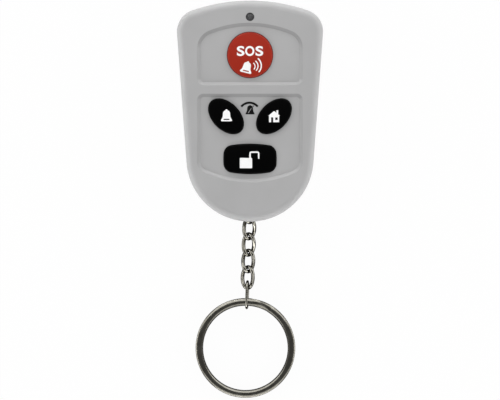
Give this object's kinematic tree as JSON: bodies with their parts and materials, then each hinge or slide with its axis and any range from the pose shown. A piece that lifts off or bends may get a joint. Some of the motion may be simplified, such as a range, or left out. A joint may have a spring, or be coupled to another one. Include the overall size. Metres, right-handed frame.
{
  "type": "alarm key fob",
  "caption": "Handheld alarm transmitter with push buttons, a coin-slot battery cap, a short curb chain and a split key ring.",
  "frame": {"origin": "on the flat back face, under the middle of the housing's outline", "axes": "+Z out of the front face, +Y towards the indicator end, the chain runs to -Y"},
  "size_m": [0.0364, 0.0994, 0.0126],
  "materials": {
    "cover_plastic": "fine satin texture, light grey",
    "sos_red": "satin moulded red",
    "button_black": "satin moulded black",
    "nickel_plate": "polished nickel plate",
    "pin_steel": "ground",
    "screw_steel": "zinc plated",
    "lens_smoke": "smoky clear",
    "led_body": "clear resin over white",
    "board_mask": "green solder mask",
    "switch_plastic": "moulded",
    "switch_plate": "bright",
    "solder_tin": "soldered",
    "cell_steel": "bright can",
    "contact_metal": "plated spring strip",
    "chip_resin": "moulded resin",
    "resonator_can": "plated can",
    "resistor_film": "glazed",
    "capacitor_ceramic": "fired ceramic",
    "copper_track": "bare copper",
    "gasket_rubber": "soft black"
  },
  "bodies": {
    "housing": {"front_cover": "cover_plastic", "back_cover": "cover_plastic", "cover_screws": "screw_steel", "chain_pin": "pin_steel", "indicator_lens": "lens_smoke", "indicator_led": "led_body", "circuit_board": "board_mask", "switch_terminals": "solder_tin", "coin_cell": "cell_steel", "cell_negative_spring": "contact_metal", "cell_positive_clip": "contact_metal", "microcontroller": "chip_resin", "saw_resonator": "resonator_can", "rf_transistor": "chip_resin", "antenna_loop": "copper_track", "chip_resistors": "resistor_film", "chip_capacitors": "capacitor_ceramic", "sos_switch_base": "switch_plastic", "sos_switch_cover": "switch_plate", "arm_switch_base": "switch_plastic", "arm_switch_cover": "switch_plate", "home_switch_base": "switch_plastic", "home_switch_cover": "switch_plate", "disarm_switch_base": "switch_plastic", "disarm_switch_cover": "switch_plate"},
    "battery_cap": {"battery_cap": "cover_plastic", "battery_cap_gasket": "gasket_rubber"},
    "sos_button": {"sos_button": "sos_red", "sos_switch_stem": "switch_plastic"},
    "arm_button": {"arm_button": "button_black", "arm_switch_stem": "switch_plastic"},
    "home_button": {"home_button": "button_black", "home_switch_stem": "switch_plastic"},
    "disarm_button": {"disarm_button": "button_black", "disarm_switch_stem": "switch_plastic"},
    "chain_link_1": {"chain_link_1": "nickel_plate"},
    "chain_link_2": {"chain_link_2": "nickel_plate"},
    "chain_link_3": {"chain_link_3": "nickel_plate"},
    "chain_link_4": {"chain_link_4": "nickel_plate"},
    "chain_link_5": {"chain_link_5": "nickel_plate"},
    "connecting_link": {"connecting_link": "nickel_plate"},
    "split_ring": {"split_ring": "nickel_plate"}
  },
  "joints": [
    {"name": "sos_press", "type": "slide", "parent": "housing", "child": "sos_button", "axis": [0, 0, -1], "range_m": [0, 0.0003], "stiffness_N_per_m": 1200},
    {"name": "arm_press", "type": "slide", "parent": "housing", "child": "arm_button", "axis": [0, 0, -1], "range_m": [0, 0.0003], "stiffness_N_per_m": 1200},
    {"name": "home_press", "type": "slide", "parent": "housing", "child": "home_button", "axis": [0, 0, -1], "range_m": [0, 0.0003], "stiffness_N_per_m": 1200},
    {"name": "disarm_press", "type": "slide", "parent": "housing", "child": "disarm_button", "axis": [0, 0, -1], "range_m": [0, 0.0003], "stiffness_N_per_m": 1200},
    {"name": "battery_cap_turn", "type": "hinge", "parent": "housing", "child": "battery_cap", "pos_m": [0, 0.01237, 0], "axis": [0, 0, -1], "range_deg": [0, 30]},
    {"name": "pin_swing", "type": "hinge", "parent": "housing", "child": "chain_link_1", "pos_m": [0, -0.02375, 0.00265], "axis": [0, 0, 1], "range_deg": [-14, 14]},
    {"name": "link_1_2_fold", "type": "hinge", "parent": "chain_link_1", "child": "chain_link_2", "pos_m": [-0.00011, -0.02724, 0.00265], "axis": [0.9995, -0.0323, 0], "range_deg": [-35, 18]},
    {"name": "link_2_3_swing", "type": "hinge", "parent": "chain_link_2", "child": "chain_link_3", "pos_m": [-0.00024, -0.03132, 0.00186], "axis": [-0.0045, -0.1391, 0.9903], "range_deg": [-20, 20]},
    {"name": "link_3_4_fold", "type": "hinge", "parent": "chain_link_3", "child": "chain_link_4", "pos_m": [-0.00038, -0.03542, 0.00128], "axis": [0.9995, -0.0323, 0], "range_deg": [-18, 30]},
    {"name": "link_4_5_swing", "type": "hinge", "parent": "chain_link_4", "child": "chain_link_5", "pos_m": [-0.00051, -0.03957, 0.00139], "axis": [0.0031, 0.0958, 0.9954], "range_deg": [-20, 20]},
    {"name": "connecting_link_fold", "type": "hinge", "parent": "chain_link_5", "child": "connecting_link", "pos_m": [-0.00064, -0.04343, 0.00183], "axis": [0.9995, -0.0323, 0], "range_deg": [-12, 28]},
    {"name": "ring_fold", "type": "hinge", "parent": "connecting_link", "child": "split_ring", "pos_m": [-0.00078, -0.04777, 0.00183], "axis": [0.9995, -0.0323, 0], "range_deg": [-70, 70]}
  ]
}
